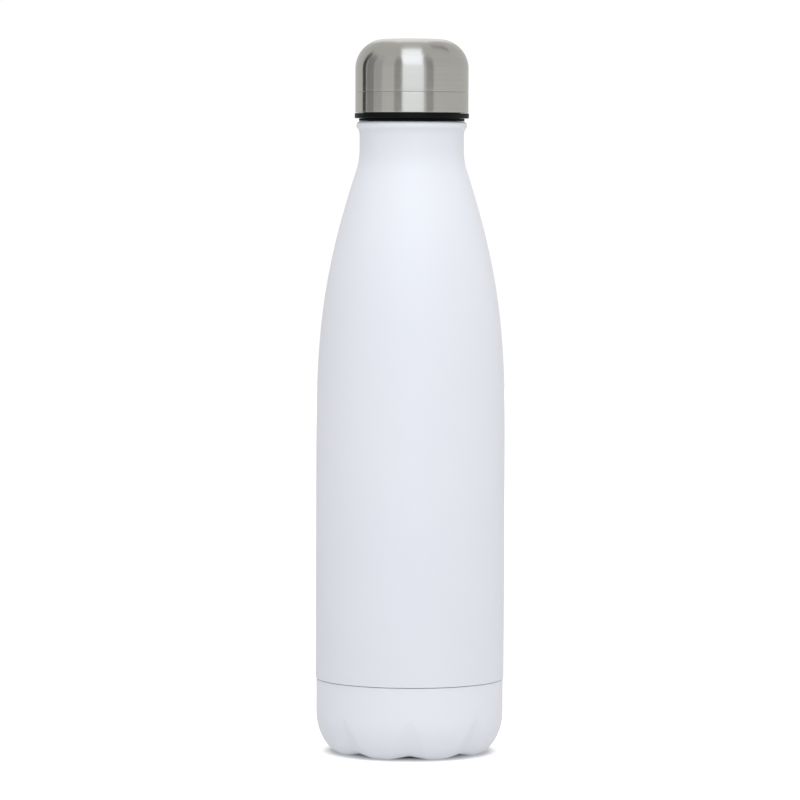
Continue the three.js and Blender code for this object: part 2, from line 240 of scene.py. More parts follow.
body_radius, shell_foot, rim = extents("outer_shell")
NECK_RADIUS = 19.25
NECK_FOOT = 223.2
NECK_SWEEP = 25
SWEEP_DEGREES = 18
SHOULDER_FOOT = 105
HANDLE = 45


def flask_outline(foot, radius, neck_radius, neck_foot, sweep_radius):
    """A flask wall's outer section: straight body, cubic shoulder, and a round sweep into the neck."""
    sweep = arc(
        (neck_radius + sweep_radius, neck_foot),
        (sweep_radius, sweep_radius),
        (180 + SWEEP_DEGREES, 180),
    )
    slope = math.radians(SWEEP_DEGREES)
    arrival = sweep[0] + HANDLE * np.array((math.sin(slope), -math.cos(slope)))
    shoulder = bezier([(radius, SHOULDER_FOOT), (radius, SHOULDER_FOOT + HANDLE), arrival, sweep[0]])
    return np.vstack(([(radius, foot)], shoulder, sweep[1:]))


BEAD = 1.6
BEAD_CENTRE_RADIUS = 18.85
BEAD_FOOT_DROP = 4.6
RIM_INNER_RADIUS = 18
bead_arc = arc((BEAD_CENTRE_RADIUS, rim - BEAD), (BEAD, BEAD), (-60, 90), 14)
bead_path = np.vstack(([(NECK_RADIUS, rim - BEAD_FOOT_DROP)], bead_arc, [(RIM_INNER_RADIUS, rim)]))
shell_wall = flask_outline(shell_foot, body_radius, NECK_RADIUS, NECK_FOOT, NECK_SWEEP)
shell_outline = np.vstack((shell_wall, rounded(bead_path, 0.8)))
white_coat = powder_coat()
shell = turned("outer_shell_coated", sheet_wall(shell_outline), "bottle")
shell.data.materials.append(white_coat)
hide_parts("outer_shell")


# ---- Inner liner -----------------------------------------------------------------------------------------
# The wall that holds the drink: 304 stainless tube, bulged to shape inside the shell and electropolished.
# The neck's one-start thread is rolled into it, so that the ridge inside is a groove outside.

lead = frame["record"]["behaviour"]["couplings"][0]["ratio"] * 2 * math.pi / MM
THREAD_HEIGHT = 1.3
THREAD_FOOT_HALF = 0.9
THREAD_CREST_HALF = 0.4
THREAD_TURNS = 2.25
THREAD_FADE = 0.25
FLANK_SHIFT = 0.4
STOPPER_THREAD_START = 216
NECK_THREAD_START = STOPPER_THREAD_START + lead / 2 - FLANK_SHIFT


def thread(angle, height, start):
    """How far a one-start ridge stands out. With d the distance to the nearest turn of the helix z = start +
    lead * turns, s = (foot half - d) / (foot half - crest half) is kept from 0 to 1 and eased by s^2 (3-2s),
    then multiplied by the ridge's height. It fades in and out over a quarter turn at its ends."""
    first = (angle / (2 * np.pi) - 0.25) % 1
    stands = np.zeros_like(angle)
    for whole in range(math.ceil(THREAD_TURNS)):
        turns = first + whole
        apart = np.abs(height - start - lead * turns)
        share = np.clip((THREAD_FOOT_HALF - apart) / (THREAD_FOOT_HALF - THREAD_CREST_HALF), 0, 1)
        fade = np.clip(np.minimum(turns, THREAD_TURNS - turns) / THREAD_FADE, 0, 1)
        stands = np.maximum(stands, THREAD_HEIGHT * share**2 * (3 - 2 * share) * fade)
    return stands


def press_neck(angle, radius, height):
    """Pushes both faces of the neck's wall inwards by the thread's ridge."""
    return radius - thread(angle, height, NECK_THREAD_START), height


def darker(hex_colour, share):
    """An sRGB hex colour in linear light, with its red, green and blue cut to a share."""
    return [channel * share for channel in linear(hex_colour)[:3]] + [1.0]


LINE_SPACING = 0.00035


def stainless(name, hex_colour, roughness, anisotropic, line_depth):
    """Stainless steel: a slightly warm grey metal, finished in a lathe. Its fine lines run round the axis,
    about 0.35 mm apart, so it reflects sharply sideways and smears every reflection along the bottle."""
    material, tree = new_material(name)
    place = add(tree, "SeparateXYZ", {"Vector": add(tree, "TexCoord").outputs["Object"]})
    way = add(tree, "SeparateXYZ", {"Vector": add(tree, "UVMap", uv_map="around_and_along").outputs["UV"]})
    across = add(tree, "CombineXYZ", {"X": place.outputs["X"], "Y": place.outputs["Y"]})
    slow = add(tree, "VectorMath", {0: across.outputs["Vector"], "Scale": 1 / 0.03}, operation="SCALE")
    quick = add(tree, "Math", {0: way.outputs["Y"], 1: 1 / LINE_SPACING}, operation="MULTIPLY")
    upright = add(tree, "CombineXYZ", {"Z": quick.outputs["Value"]})
    along = add(tree, "VectorMath", {0: slow.outputs["Vector"], 1: upright.outputs["Vector"]})
    line_inputs = {"Vector": along.outputs["Vector"], "Scale": 1.0, "Detail": 4.0, "Roughness": 0.65}
    lines = add(tree, "TexNoise", line_inputs)
    cloud = add(tree, "TexNoise", {"Vector": across.outputs["Vector"], "Scale": 1 / 0.02, "Detail": 2.0})
    colour = two_tone(tree, lines.outputs["Fac"], darker(hex_colour, 0.93), linear(hex_colour), 0.25, 0.75)
    spread = {"To Min": roughness - 0.03, "To Max": roughness + 0.03}
    rough = add(tree, "MapRange", {"Value": cloud.outputs["Fac"], **spread})
    bump = add(tree, "Bump", {"Height": lines.outputs["Fac"], "Distance": line_depth, "Strength": 0.5})
    inputs = {
        "Base Color": colour,
        "Metallic": 1.0,
        "Roughness": rough.outputs["Result"],
        "Anisotropic": anisotropic,
        "Anisotropic Rotation": 0.25,
        "Tangent": add(tree, "Tangent", direction_type="RADIAL", axis="Z").outputs["Tangent"],
        "Normal": bump.outputs["Normal"],
    }
    principled(tree, inputs)
    return material


liner_radius, liner_foot, _ = extents("inner_liner")
LINER_NECK_RADIUS = 16.1
LINER_NECK_FOOT = 213
LINER_NECK_TOP = 229.4
LINER_SWEEP = 14
NECK_ROW = 0.2
MOUTH_CURVE = 3.4
liner_body = flask_outline(liner_foot, liner_radius, LINER_NECK_RADIUS, LINER_NECK_FOOT, LINER_SWEEP)
neck_rows = np.arange(LINER_NECK_FOOT + NECK_ROW, LINER_NECK_TOP, NECK_ROW)
neck = np.column_stack((np.full(len(neck_rows), LINER_NECK_RADIUS), neck_rows))
mouth_centre = (LINER_NECK_RADIUS + MOUTH_CURVE, LINER_NECK_TOP)
mouth = arc(mouth_centre, (MOUTH_CURVE, MOUTH_CURVE), (180, 118), 12)
liner_section = sheet_wall(np.vstack((liner_body, neck, mouth[1:])))
drawn_steel = stainless("electropolished_steel", "#C9C8C4", 0.3, 0.5, 0.000004)
liner = turned("inner_liner_drawn", liner_section, "bottle", press_neck, FINE_AROUND)
liner.data.materials.append(drawn_steel)
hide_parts("inner_liner")


# ---- Liner bottom ----------------------------------------------------------------------------------------
# A shallow pressed dish of the same steel, domed a little in the middle, and welded edge to edge to the
# liner's foot.

_, dish_foot, dish_top = extents("liner_bottom")
BOTTOM_CORNER = 8
BOTTOM_RISE = 1.4
dome_top = dish_foot + BOTTOM_RISE
corner_start = liner_radius - BOTTOM_CORNER
corner_centre = (corner_start, dish_foot + BOTTOM_CORNER)
bottom_dome = bezier([(0, dome_top), (9, dome_top), (14, dish_foot), (corner_start, dish_foot)], 30)
bottom_corner = arc(corner_centre, (BOTTOM_CORNER, BOTTOM_CORNER), (270, 360), 20)
bottom_outline = np.vstack((bottom_dome, bottom_corner[1:], [(liner_radius, dish_top)]))


def closed_sheet(outline):
    """Section of a sheet that starts on the axis: the outline, and back along it moved left by the sheet's
    thickness, with its last point kept on the axis."""
    section = sheet_wall(outline)
    edge = len(outline) + EDGE_STEPS - 1
    back = section[edge : edge + len(outline) - 1]
    return np.vstack((section[:edge], back, [(0, outline[0, 1] + SHEET)]))


bottom = turned("liner_bottom_dish", closed_sheet(bottom_outline), "bottle")
bottom.data.materials.append(drawn_steel)
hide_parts("liner_bottom")


# ---- Copper foil -----------------------------------------------------------------------------------------
# A radiation shield: one turn of bright copper foil round the liner's straight wall. It lies loose in the
# vacuum, so it is slightly wrinkled.

foil_radius, foil_foot, foil_top = extents("copper_foil_wrap")
FOIL = 0.08
WRINKLE = 0.07
WAVES = ((9, 7), (17, -5), (31, 11))
FOIL_ROWS = 60


def wrinkle(angle, radius, height):
    """Waves of at most 0.07 mm: the mean of sin(n angle + height / h) over the three pairs n, h."""
    waves = sum(np.sin(count * angle + height / slant) for count, slant in WAVES)
    return radius + WRINKLE * waves / len(WAVES), height


def copper():
    """Rolled copper foil: bright salmon-red metal with fine rolling lines along its length, and soft clouds
    of oxide where it was handled."""
    material, tree = new_material("rolled_copper_foil")
    place = add(tree, "TexCoord").outputs["Object"]
    rolled = add(tree, "Mapping", {"Vector": place, "Scale": (40, 40, 3000)})
    lines = add(tree, "TexNoise", {"Vector": rolled.outputs["Vector"], "Scale": 1.0, "Detail": 3.0})
    cloud = add(tree, "TexNoise", {"Vector": place, "Scale": 1 / 0.015, "Detail": 4.0})
    colour = two_tone(tree, cloud.outputs["Fac"], linear("#C9804F"), linear("#E3A076"), 0.35, 0.62)
    rough = add(tree, "MapRange", {"Value": cloud.outputs["Fac"], "To Min": 0.32, "To Max": 0.18})
    bump = add(tree, "Bump", {"Height": lines.outputs["Fac"], "Distance": 0.00001, "Strength": 0.4})
    inputs = {
        "Base Color": colour,
        "Metallic": 1.0,
        "Roughness": rough.outputs["Result"],
        "Normal": bump.outputs["Normal"],
    }
    principled(tree, inputs)
    return material


foil_rows = np.linspace(foil_foot, foil_top, FOIL_ROWS)
foil_outline = np.column_stack((np.full(FOIL_ROWS, foil_radius - FOIL / 2), foil_rows))
foil_section = sheet_wall(foil_outline, FOIL)
foil = turned("copper_foil_loose", foil_section, "bottle", wrinkle, FINE_AROUND)
foil.data.materials.append(copper())
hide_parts("copper_foil_wrap")


# ---- Vacuum base plate -----------------------------------------------------------------------------------
# The plate that closes the space between the walls. Its skirt is welded inside the shell's foot, and the
# port in its dimple is where the air was drawn out.

_, plate_foot, skirt_top = extents("vacuum_base_plate")
SKIRT_RADIUS = 33.6
STEP_FOOT = 26.6
STEP_TOP = 28.4
SKIRT_GAP = 0.3
PORT_RADIUS = 0.8
DIMPLE = 2
PLATE_CORNER = 7
flat_end = SKIRT_RADIUS - PLATE_CORNER
skirt_foot = plate_foot + PLATE_CORNER
skirt_mouth = body_radius - SHEET - SKIRT_GAP
dimple_top = plate_foot + DIMPLE
dimple_path = [(PORT_RADIUS, dimple_top), (3.6, dimple_top), (5.6, plate_foot), (flat_end, plate_foot)]
plate_corner = arc((flat_end, skirt_foot), (PLATE_CORNER, PLATE_CORNER), (270, 360), 16)
skirt_path = [
    (SKIRT_RADIUS, skirt_foot),
    (SKIRT_RADIUS, STEP_FOOT),
    (skirt_mouth, STEP_TOP),
    (skirt_mouth, skirt_top),
]
plate_outline = np.vstack((rounded(dimple_path, 1.2), plate_corner[1:-1], rounded(skirt_path, 1)))
plate = turned("vacuum_base_plate_pressed", sheet_wall(plate_outline), "bottle")
plate.data.materials.append(drawn_steel)
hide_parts("vacuum_base_plate")


# ---- Port seal -------------------------------------------------------------------------------------------
# A drop of dark solder glass. It is melted over the port while the bottle is in the vacuum furnace, and
# sets with a glossy, slightly rippled skin.

bead_radius, bead_foot, bead_top = extents("port_seal_bead")


def solder_glass():
    """Lead-free solder glass: nearly black, glossy, with a few frozen flow ripples about 1 mm across."""
    material, tree = new_material("solder_glass")
    place = add(tree, "TexCoord").outputs["Object"]
    ripple = add(tree, "TexNoise", {"Vector": place, "Scale": 1 / 0.001, "Detail": 2.0, "Distortion": 1.0})
    colour = two_tone(tree, ripple.outputs["Fac"], linear("#1B1F26"), linear("#3A4048"))
    bump = add(tree, "Bump", {"Height": ripple.outputs["Fac"], "Distance": 0.00005, "Strength": 0.4})
    inputs = {"Base Color": colour, "Roughness": 0.12, "IOR": 1.7, "Normal": bump.outputs["Normal"]}
    principled(tree, inputs)
    return material


SMALL_AROUND = 64
drop_side = [(bead_radius, bead_foot + 0.4), (bead_radius, bead_top - 0.2)]
drop = bezier([(0, bead_foot), (2.4, bead_foot)] + drop_side, 20)
drop_outline = np.vstack((drop, rounded([drop[-1], (bead_radius - 0.1, bead_top), (0, bead_top)], 0.2)))
seal = turned("port_seal_drop", drop_outline, "bottle", around=SMALL_AROUND)
seal.data.materials.append(solder_glass())
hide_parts("port_seal_bead")


# ---- Getter and its clip ---------------------------------------------------------------------------------
# A pill of pressed zirconium alloy powder that soaks up the last gas, and the bent steel strip that is
# spot-welded over it.

getter_low, getter_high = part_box("getter_pill")
getter_place = (getter_low + getter_high) / 2
getter_radius = (getter_high.x - getter_low.x) / 2 / MM
getter_foot, getter_top = getter_low.z / MM, getter_high.z / MM


def sintered():
    """Sintered metal powder: dull dark grey, with open grains of about 0.15 mm. The colour is darker in the
    low gaps between the grains, which is painted shade.
    """
    material, tree = new_material("sintered_getter_alloy")
    place = add(tree, "TexCoord").outputs["Object"]
    grain = add(tree, "TexVoronoi", {"Vector": place, "Scale": 1 / 0.00015})
    # Painted shade: the colour darkens away from each grain's centre, into the pits that the bump makes.
    colour = two_tone(tree, grain.outputs["Distance"], linear("#5C5C60"), linear("#2E2E31"))
    bump_inputs = {"Height": grain.outputs["Distance"], "Distance": 0.00006, "Strength": 0.8}
    bump = add(tree, "Bump", bump_inputs, invert=True)
    inputs = {"Base Color": colour, "Metallic": 0.6, "Roughness": 0.75, "Normal": bump.outputs["Normal"]}
    principled(tree, inputs)
    return material


PILL_CHAMFER = 0.4
pill_face = getter_radius - PILL_CHAMFER
pill_outline = rounded(
    [
        (0, getter_foot),
        (pill_face, getter_foot),
        (getter_radius, getter_foot + PILL_CHAMFER),
        (getter_radius, getter_top - PILL_CHAMFER),
        (pill_face, getter_top),
        (0, getter_top),
    ],
    0.2,
)
pill = turned("getter_pill_pressed", pill_outline, "bottle", around=SMALL_AROUND)
pill.data.transform(Matrix.Translation((getter_place.x, getter_place.y, 0)))
pill.data.materials.append(sintered())
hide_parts("getter_pill")


def strip_steel():
    """Cold-rolled spring steel strip: grey, with fine rolling lines along its length, 0.2 mm apart."""
    material, tree = new_material("rolled_steel_strip")
    place = add(tree, "TexCoord").outputs["Object"]
    rolled = add(tree, "Mapping", {"Vector": place, "Scale": (100, 5000, 100)})
    lines = add(tree, "TexNoise", {"Vector": rolled.outputs["Vector"], "Scale": 1.0, "Detail": 3.0})
    rough = add(tree, "MapRange", {"Value": lines.outputs["Fac"], "To Min": 0.3, "To Max": 0.5})
    bump = add(tree, "Bump", {"Height": lines.outputs["Fac"], "Distance": 0.00001, "Strength": 0.4})
    inputs = {
        "Base Color": linear("#B4B4B2"),
        "Metallic": 1.0,
        "Roughness": rough.outputs["Result"],
        "Normal": bump.outputs["Normal"],
    }
    principled(tree, inputs)
    return material


def extruded(name, section, centre, width, body):
    """A closed (x, z) section carried along Y by the width, centred on a point, with flat ends."""
    section = section[:-1]
    count = len(section)
    x, z = np.tile(section, (2, 1)).T * MM
    y = np.repeat((-width / 2, width / 2), count) * MM
    near = np.arange(count)
    after = (near + 1) % count
    sides = np.stack((near, after, after + count, near + count), 1).tolist()
    mesh = bpy.data.meshes.new(name)
    places = np.column_stack((x + centre.x, y + centre.y, z))
    mesh.from_pydata(places, [], sides + [near[::-1].tolist(), (near + count).tolist()])
    closed = bmesh.new()
    closed.from_mesh(mesh)
    bmesh.ops.recalc_face_normals(closed, faces=closed.faces)
    closed.to_mesh(mesh)
    closed.free()
    return piece_of(mesh, body)


clip_low, clip_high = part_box("getter_clip")
STRIP = 0.3
CLIP_GAP = 0.4
clip_foot, clip_top = clip_low.z / MM, clip_high.z / MM - STRIP
clip_half = (clip_high.x - clip_low.x) / 2 / MM
clip_step = getter_radius + CLIP_GAP
clip_right = [(clip_half, clip_foot), (clip_step, clip_foot), (clip_step, clip_top)]
clip_left = [(-x, z) for x, z in clip_right[::-1]]
clip_path = rounded(clip_right + clip_left, 0.5)
clip_width = (clip_high.y - clip_low.y) / MM
clip_section = sheet_wall(clip_path[::-1], STRIP)
clip = extruded("getter_clip_bent", clip_section, getter_place, clip_width, "bottle")
clip.data.materials.append(strip_steel())
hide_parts("getter_clip")


# ---- Base cup --------------------------------------------------------------------------------------------
# A drawn steel cup pushed over the flask's foot and coated like the shell. A press forms eight wedge-shaped
# valleys into its corner, and what is left between them are the eight feet that it stands on.

FEET = 8
VALLEY_TOP = 15.8
VALLEY_DEPTH = 2.2
VALLEY_EASE = 0.4
VALLEY_HALF_ANGLE = math.radians(14.5)
CORNER_ACROSS = 9.5
CORNER_UP = 14.5
LAND_INNER_RADIUS = 21.6
VALLEY_FADE = 10
VALLEY_FLOOR_ROUNDING = 0.1
VALLEY_FLANK_ROUNDING = 0.06
VALLEY_START = 0.1
LEAST_DROP = 0.001
DISH_HEIGHT = 5
cup_radius, _, cup_top = extents("base_cup")
LAND_OUTER_RADIUS = cup_radius - CORNER_ACROSS


def smooth_positive(x, softness):
    """(x + sqrt(x^2 + softness^2)) / 2: x where it is positive and 0 where it isn't, with a soft bend."""
    return (x + np.sqrt(x**2 + softness**2)) / 2


def press_valleys(angle, radius, height):
    """Moves points square to the elliptical corner by the valleys' depth. It falls in a straight slope to
    nothing at the valley's flanks and at its apex, and eases by (1 - 0.4 down^3) towards the floor. Above
    the corner, where the wall is upright, the least drop only keeps the direction defined."""
    down = np.clip((VALLEY_TOP - height) / VALLEY_TOP, 0, 1)
    inwards = np.clip((radius - LAND_INNER_RADIUS + VALLEY_FADE) / VALLEY_FADE, 0, 1)
    reach = down * inwards**2 * (3 - 2 * inwards)
    pitch = 2 * np.pi / FEET
    off_valley = np.abs(angle - pitch * np.round(angle / pitch)) / VALLEY_HALF_ANGLE
    off_valley = np.sqrt(off_valley**2 + VALLEY_FLOOR_ROUNDING**2) - VALLEY_FLOOR_ROUNDING
    eased = VALLEY_DEPTH * (1 - VALLEY_EASE * down**3)
    cut = smooth_positive(reach - off_valley, VALLEY_FLANK_ROUNDING)
    depth = eased * cut * np.minimum(1, reach / VALLEY_START)
    across = np.maximum(radius - LAND_OUTER_RADIUS, 0) / CORNER_ACROSS**2
    upwards = np.maximum(CORNER_UP - height, LEAST_DROP) / CORNER_UP**2
    length = np.hypot(across, upwards)
    return radius - depth * across / length, height + depth * upwards / length


dish = bezier([(0, DISH_HEIGHT), (14, DISH_HEIGHT), (17.5, 0), (LAND_INNER_RADIUS, 0)], steps=40)
centre = (LAND_OUTER_RADIUS, CORNER_UP)
corner = arc(centre, (CORNER_ACROSS, CORNER_UP), (270, 360), 48)
inner_corner = arc(centre, (CORNER_ACROSS - SHEET, CORNER_UP - SHEET), (270, 360), 48)
WALL_ROWS = 14
WALL_START = 0.4
wall_heights = np.linspace(CORNER_UP + WALL_START, VALLEY_TOP + WALL_START, WALL_ROWS)
cup_wall = np.column_stack((np.full(WALL_ROWS, cup_radius), wall_heights))
cup_outline = np.vstack((dish, corner, cup_wall, [(cup_radius, cup_top)]))
inner_wall = np.vstack((cup_wall, [(cup_radius, cup_top)])) - (SHEET, 0)
cup_inside = np.vstack((dish + (0, SHEET), inner_corner, inner_wall))
cup_section = np.vstack((cup_outline, cup_inside[::-1]))
CUP_AROUND = 2 * AROUND
cup = turned("base_cup_coated", cup_section, "bottle", press_valleys, CUP_AROUND)
cup.data.materials.append(white_coat)
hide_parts("base_cup")


# ---- Base bond -------------------------------------------------------------------------------------------
# The ring of epoxy that holds the base cup on the vacuum plate's skirt.

bond_radius, bond_foot, bond_top = extents("base_bond_ring")


def cured_epoxy(name, hex_colour):
    """Cured two-part adhesive: honey-coloured, slightly see-through and smooth, with soft lumps where it was
    squeezed out, about 1.5 mm across."""
    material, tree = new_material(name)
    place = add(tree, "TexCoord").outputs["Object"]
    lumps = add(tree, "TexNoise", {"Vector": place, "Scale": 1 / 0.0015, "Detail": 3.0})
    colour = two_tone(tree, lumps.outputs["Fac"], darker(hex_colour, 0.7), linear(hex_colour))
    bump = add(tree, "Bump", {"Height": lumps.outputs["Fac"], "Distance": 0.0001, "Strength": 0.5})
    inputs = {
        "Base Color": colour,
        "Roughness": 0.3,
        "IOR": 1.55,
        "Subsurface Weight": 0.2,
        "Subsurface Scale": 0.001,
        "Normal": bump.outputs["Normal"],
    }
    principled(tree, inputs)
    return material


def ring_section(inner, outer, foot, top, round_by):
    """A rectangle with rounded corners, from the middle of its lower side and once round."""
    start = ((inner + outer) / 2, foot)
    return rounded([start, (outer, foot), (outer, top), (inner, top), (inner, foot), start], round_by)


epoxy = cured_epoxy("cured_epoxy", "#D9C79A")
BOND_GAP = 0.1
bond_outline = ring_section(SKIRT_RADIUS + BOND_GAP, bond_radius, bond_foot, bond_top, 0.15)
bond = turned("base_bond_epoxy", bond_outline, "bottle")
bond.data.materials.append(epoxy)
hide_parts("base_bond_ring")


# ---- Stopper ---------------------------------------------------------------------------------------------
# Black polypropylene, moulded in one piece: a hollow plug with the male thread, the flange that shows as a
# black line under the cap, and the collar that the cap insert is welded to.

flange_radius, stopper_foot, collar_top = extents("stopper_body")
STOPPER_RADIUS = 13.9
STOPPER_WALL = 1.6
STOPPER_FLOOR = 2.2
FLANGE_FOOT = 234.8
FLANGE_TOP = 236.7
COLLAR_RADIUS = 18
COLLAR_WALL = 1.4
PLUG_ROW = 0.1
ON_WALL = 0.01
DULL_SPECULAR = 0.12


def press_stopper(angle, radius, height):
    """Raises the thread out of the plug's outer wall, and nowhere else."""
    on_wall = (np.abs(radius - STOPPER_RADIUS) < ON_WALL) & (height < FLANGE_FOOT)
    return radius + on_wall * thread(angle, height, STOPPER_THREAD_START), height


def moulded_plastic(name, hex_colour, low_roughness, high_roughness):
    """Injection-moulded polypropylene: it takes the fine even grain of a spark-eroded mould, about 0.4 mm,
    which gives a soft sheen, and broad flow marks that only show in the sheen."""
    material, tree = new_material(name)
    place = add(tree, "TexCoord").outputs["Object"]
    grain = add(tree, "TexNoise", {"Vector": place, "Scale": 1 / 0.0004, "Detail": 3.0, "Roughness": 0.6})
    flow = add(tree, "TexNoise", {"Vector": place, "Scale": 1 / 0.012, "Detail": 2.0, "Distortion": 0.6})
    sheen = {"From Min": 0.3, "From Max": 0.7, "To Min": low_roughness, "To Max": high_roughness}
    rough = add(tree, "MapRange", {"Value": flow.outputs["Fac"], **sheen})
    colour = two_tone(tree, flow.outputs["Fac"], darker(hex_colour, 0.8), linear(hex_colour))
    bump = add(tree, "Bump", {"Height": grain.outputs["Fac"], "Distance": 0.00002, "Strength": 0.5})
    inputs = {
        "Base Color": colour,
        "Roughness": rough.outputs["Result"],
        "IOR": 1.49,
        "Specular IOR Level": DULL_SPECULAR,
        "Normal": bump.outputs["Normal"],
    }
    principled(tree, inputs)
    return material


wall_rows = np.arange(stopper_foot + 2, FLANGE_FOOT - 6, PLUG_ROW)
plug_wall = np.column_stack((np.full(len(wall_rows), STOPPER_RADIUS), wall_rows))
plug_foot = rounded(
    [
        (0, stopper_foot + 0.6),
        (10.2, stopper_foot + 0.6),
        (10.8, stopper_foot),
        (13.1, stopper_foot),
        (STOPPER_RADIUS, stopper_foot + 0.8),
        plug_wall[0],
    ],
    0.4,
)
plug_bore = STOPPER_RADIUS - STOPPER_WALL
collar_bore = COLLAR_RADIUS - COLLAR_WALL
plug_head = rounded(
    [
        plug_wall[-1],
        (STOPPER_RADIUS, FLANGE_FOOT),
        (flange_radius, FLANGE_FOOT),
        (flange_radius, FLANGE_TOP),
        (COLLAR_RADIUS, FLANGE_TOP),
        (COLLAR_RADIUS, collar_top),
        (collar_bore, collar_top),
        (collar_bore, FLANGE_TOP),
        (plug_bore, FLANGE_TOP),
        (plug_bore, stopper_foot + STOPPER_FLOOR),
        (0, stopper_foot + STOPPER_FLOOR),
    ],
    0.3,
)
black_plastic = moulded_plastic("black_polypropylene", "#0C0D10", 0.36, 0.5)
stopper_outline = np.vstack((plug_foot, plug_wall[1:-1], plug_head))
stopper = turned("stopper_moulded", stopper_outline, "lid", press_stopper, FINE_AROUND)
stopper.data.materials.append(black_plastic)
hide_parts("stopper_body")


# ---- Gasket ----------------------------------------------------------------------------------------------
# A flat ring of black silicone, moulded separately and pushed up the plug to the flange. It seals against
# the rolled rim.

gasket_radius, gasket_foot, gasket_top = extents("sealing_gasket")


def silicone():
    """Moulded silicone rubber: black, matt, with a dusty sheen and a fine grain of 0.3 mm."""
    material, tree = new_material("black_silicone")
    place = add(tree, "TexCoord").outputs["Object"]
    grain = add(tree, "TexNoise", {"Vector": place, "Scale": 1 / 0.0003, "Detail": 2.0})
    dust = add(tree, "TexNoise", {"Vector": place, "Scale": 1 / 0.004, "Detail": 4.0})
    colour = two_tone(tree, dust.outputs["Fac"], linear("#0E0E10"), linear("#1A1A1D"))
    rough = add(tree, "MapRange", {"Value": grain.outputs["Fac"], "To Min": 0.6, "To Max": 0.75})
    bump = add(tree, "Bump", {"Height": grain.outputs["Fac"], "Distance": 0.00001, "Strength": 0.5})
    inputs = {
        "Base Color": colour,
        "Roughness": rough.outputs["Result"],
        "IOR": 1.41,
        "Specular IOR Level": DULL_SPECULAR,
        "Normal": bump.outputs["Normal"],
    }
    principled(tree, inputs)
    return material


GASKET_GAP = 0.4
gasket_outline = ring_section(STOPPER_RADIUS + GASKET_GAP, gasket_radius, gasket_foot, gasket_top, 0.25)
gasket = turned("sealing_gasket_silicone", gasket_outline, "gasket")
gasket.data.materials.append(silicone())
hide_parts("sealing_gasket")


# ---- Stopper foam ----------------------------------------------------------------------------------------
# White rigid foam, moulded to fill the hollow plug and the cap above it, so that the lid insulates too.

_, foam_foot, foam_top = extents("stopper_foam")
FOAM_GAP = 0.3


def bead_foam():
    """Expanded polystyrene: white, with fused beads of about 2 mm whose outlines show as shallow creases.
    The colour is darker in the creases, which is painted shade.
    """
    material, tree = new_material("bead_foam")
    place = add(tree, "TexCoord").outputs["Object"]
    beads = add(tree, "TexVoronoi", {"Vector": place, "Scale": 1 / 0.002}, feature="DISTANCE_TO_EDGE")
    crease_and_painted_shade = add(tree, "MapRange", {"Value": beads.outputs["Distance"], "From Max": 0.12})
    # Painted shade: the colour darkens towards the bead outlines, where the bump makes creases.
    colour = two_tone(tree, crease_and_painted_shade.outputs["Result"], linear("#D2D2CC"), linear("#F2F2EE"))
    bump = add(tree, "Bump", {"Height": crease_and_painted_shade.outputs["Result"], "Distance": 0.00012, "Strength": 0.7})
    inputs = {
        "Base Color": colour,
        "Roughness": 0.85,
        "IOR": 1.3,
        "Subsurface Weight": 0.3,
        "Subsurface Scale": 0.002,
        "Normal": bump.outputs["Normal"],
    }
    principled(tree, inputs)
    return material


FOAM_CHAMFER = 5
foam_lower = plug_bore - FOAM_GAP
foam_upper = collar_bore - FOAM_GAP
foam_step = FLANGE_TOP + FOAM_GAP
foam_outline = rounded(
    [
        (0, foam_foot),
        (foam_lower, foam_foot),
        (foam_lower, foam_step),
        (foam_upper, foam_step),
        (foam_upper, foam_top - FOAM_CHAMFER),
        (foam_upper - FOAM_CHAMFER, foam_top),
        (0, foam_top),
    ],
    1,
)
foam = turned("stopper_foam_moulded", foam_outline, "lid")
foam.data.materials.append(bead_foam())
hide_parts("stopper_foam")


# ---- Cap insert ------------------------------------------------------------------------------------------
# A plain black polypropylene cap under the steel one. It is spin-welded to the stopper's collar and closes
# the foam in.

cap_radius, cap_foot, cap_top = extents("cap_shell")
CAP_CORNER = 10.8
CAP_CROWN = 190
DOME_STEPS = 20


def dome(set_in):
    """The cap's outline from its wall to the axis, set in by a distance: a round corner, and a flat crown
    whose circle touches the corner's."""
    across = cap_radius - CAP_CORNER
    up = math.sqrt((CAP_CROWN - CAP_CORNER) ** 2 - across**2)
    meets = math.degrees(math.atan2(up, across))
    crown_centre = cap_top - CAP_CROWN
    corner = arc((across, crown_centre + up), (CAP_CORNER - set_in,) * 2, (0, meets), DOME_STEPS)
    crown = arc((0, crown_centre), (CAP_CROWN - set_in,) * 2, (meets, 90), DOME_STEPS)
    return np.vstack((corner, crown[1:-1], [(0, cap_top - set_in)]))


insert_radius, insert_foot, _ = extents("cap_insert")
INSERT_WALL = 1.5


def rim_section(inner, outer, foot, height, round_by):
    """A wall's lower rim, down its inner face and up its outer one, with two rounded corners."""
    return rounded([(inner, foot + height), (inner, foot), (outer, foot), (outer, foot + height)], round_by)


insert_inset = cap_radius - insert_radius
insert_rim = rim_section(insert_radius - INSERT_WALL, insert_radius, insert_foot, 4, 0.3)
insert_outline = np.vstack((dome(insert_inset + INSERT_WALL)[::-1], insert_rim, dome(insert_inset)))
insert = turned("cap_insert_moulded", insert_outline, "lid")
insert.data.materials.append(black_plastic)
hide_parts("cap_insert")


# ---- Cap bond --------------------------------------------------------------------------------------------
# The ring of hot-melt glue that holds the steel cap on its insert.

glue_radius, glue_foot, glue_top = extents("cap_bond_ring")
GLUE_GAP = 0.15
glue_outline = ring_section(insert_radius + GLUE_GAP, glue_radius, glue_foot, glue_top, 0.1)
glue = turned("cap_bond_glue", glue_outline, "lid")
glue.data.materials.append(epoxy)
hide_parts("cap_bond_ring")


# ---- Steel cap -------------------------------------------------------------------------------------------
# Drawn from 0.4 mm stainless sheet into a deep dome, brushed very finely round its axis on a lathe until it
# almost shines, and marked by one narrow turned groove a quarter of the way up.

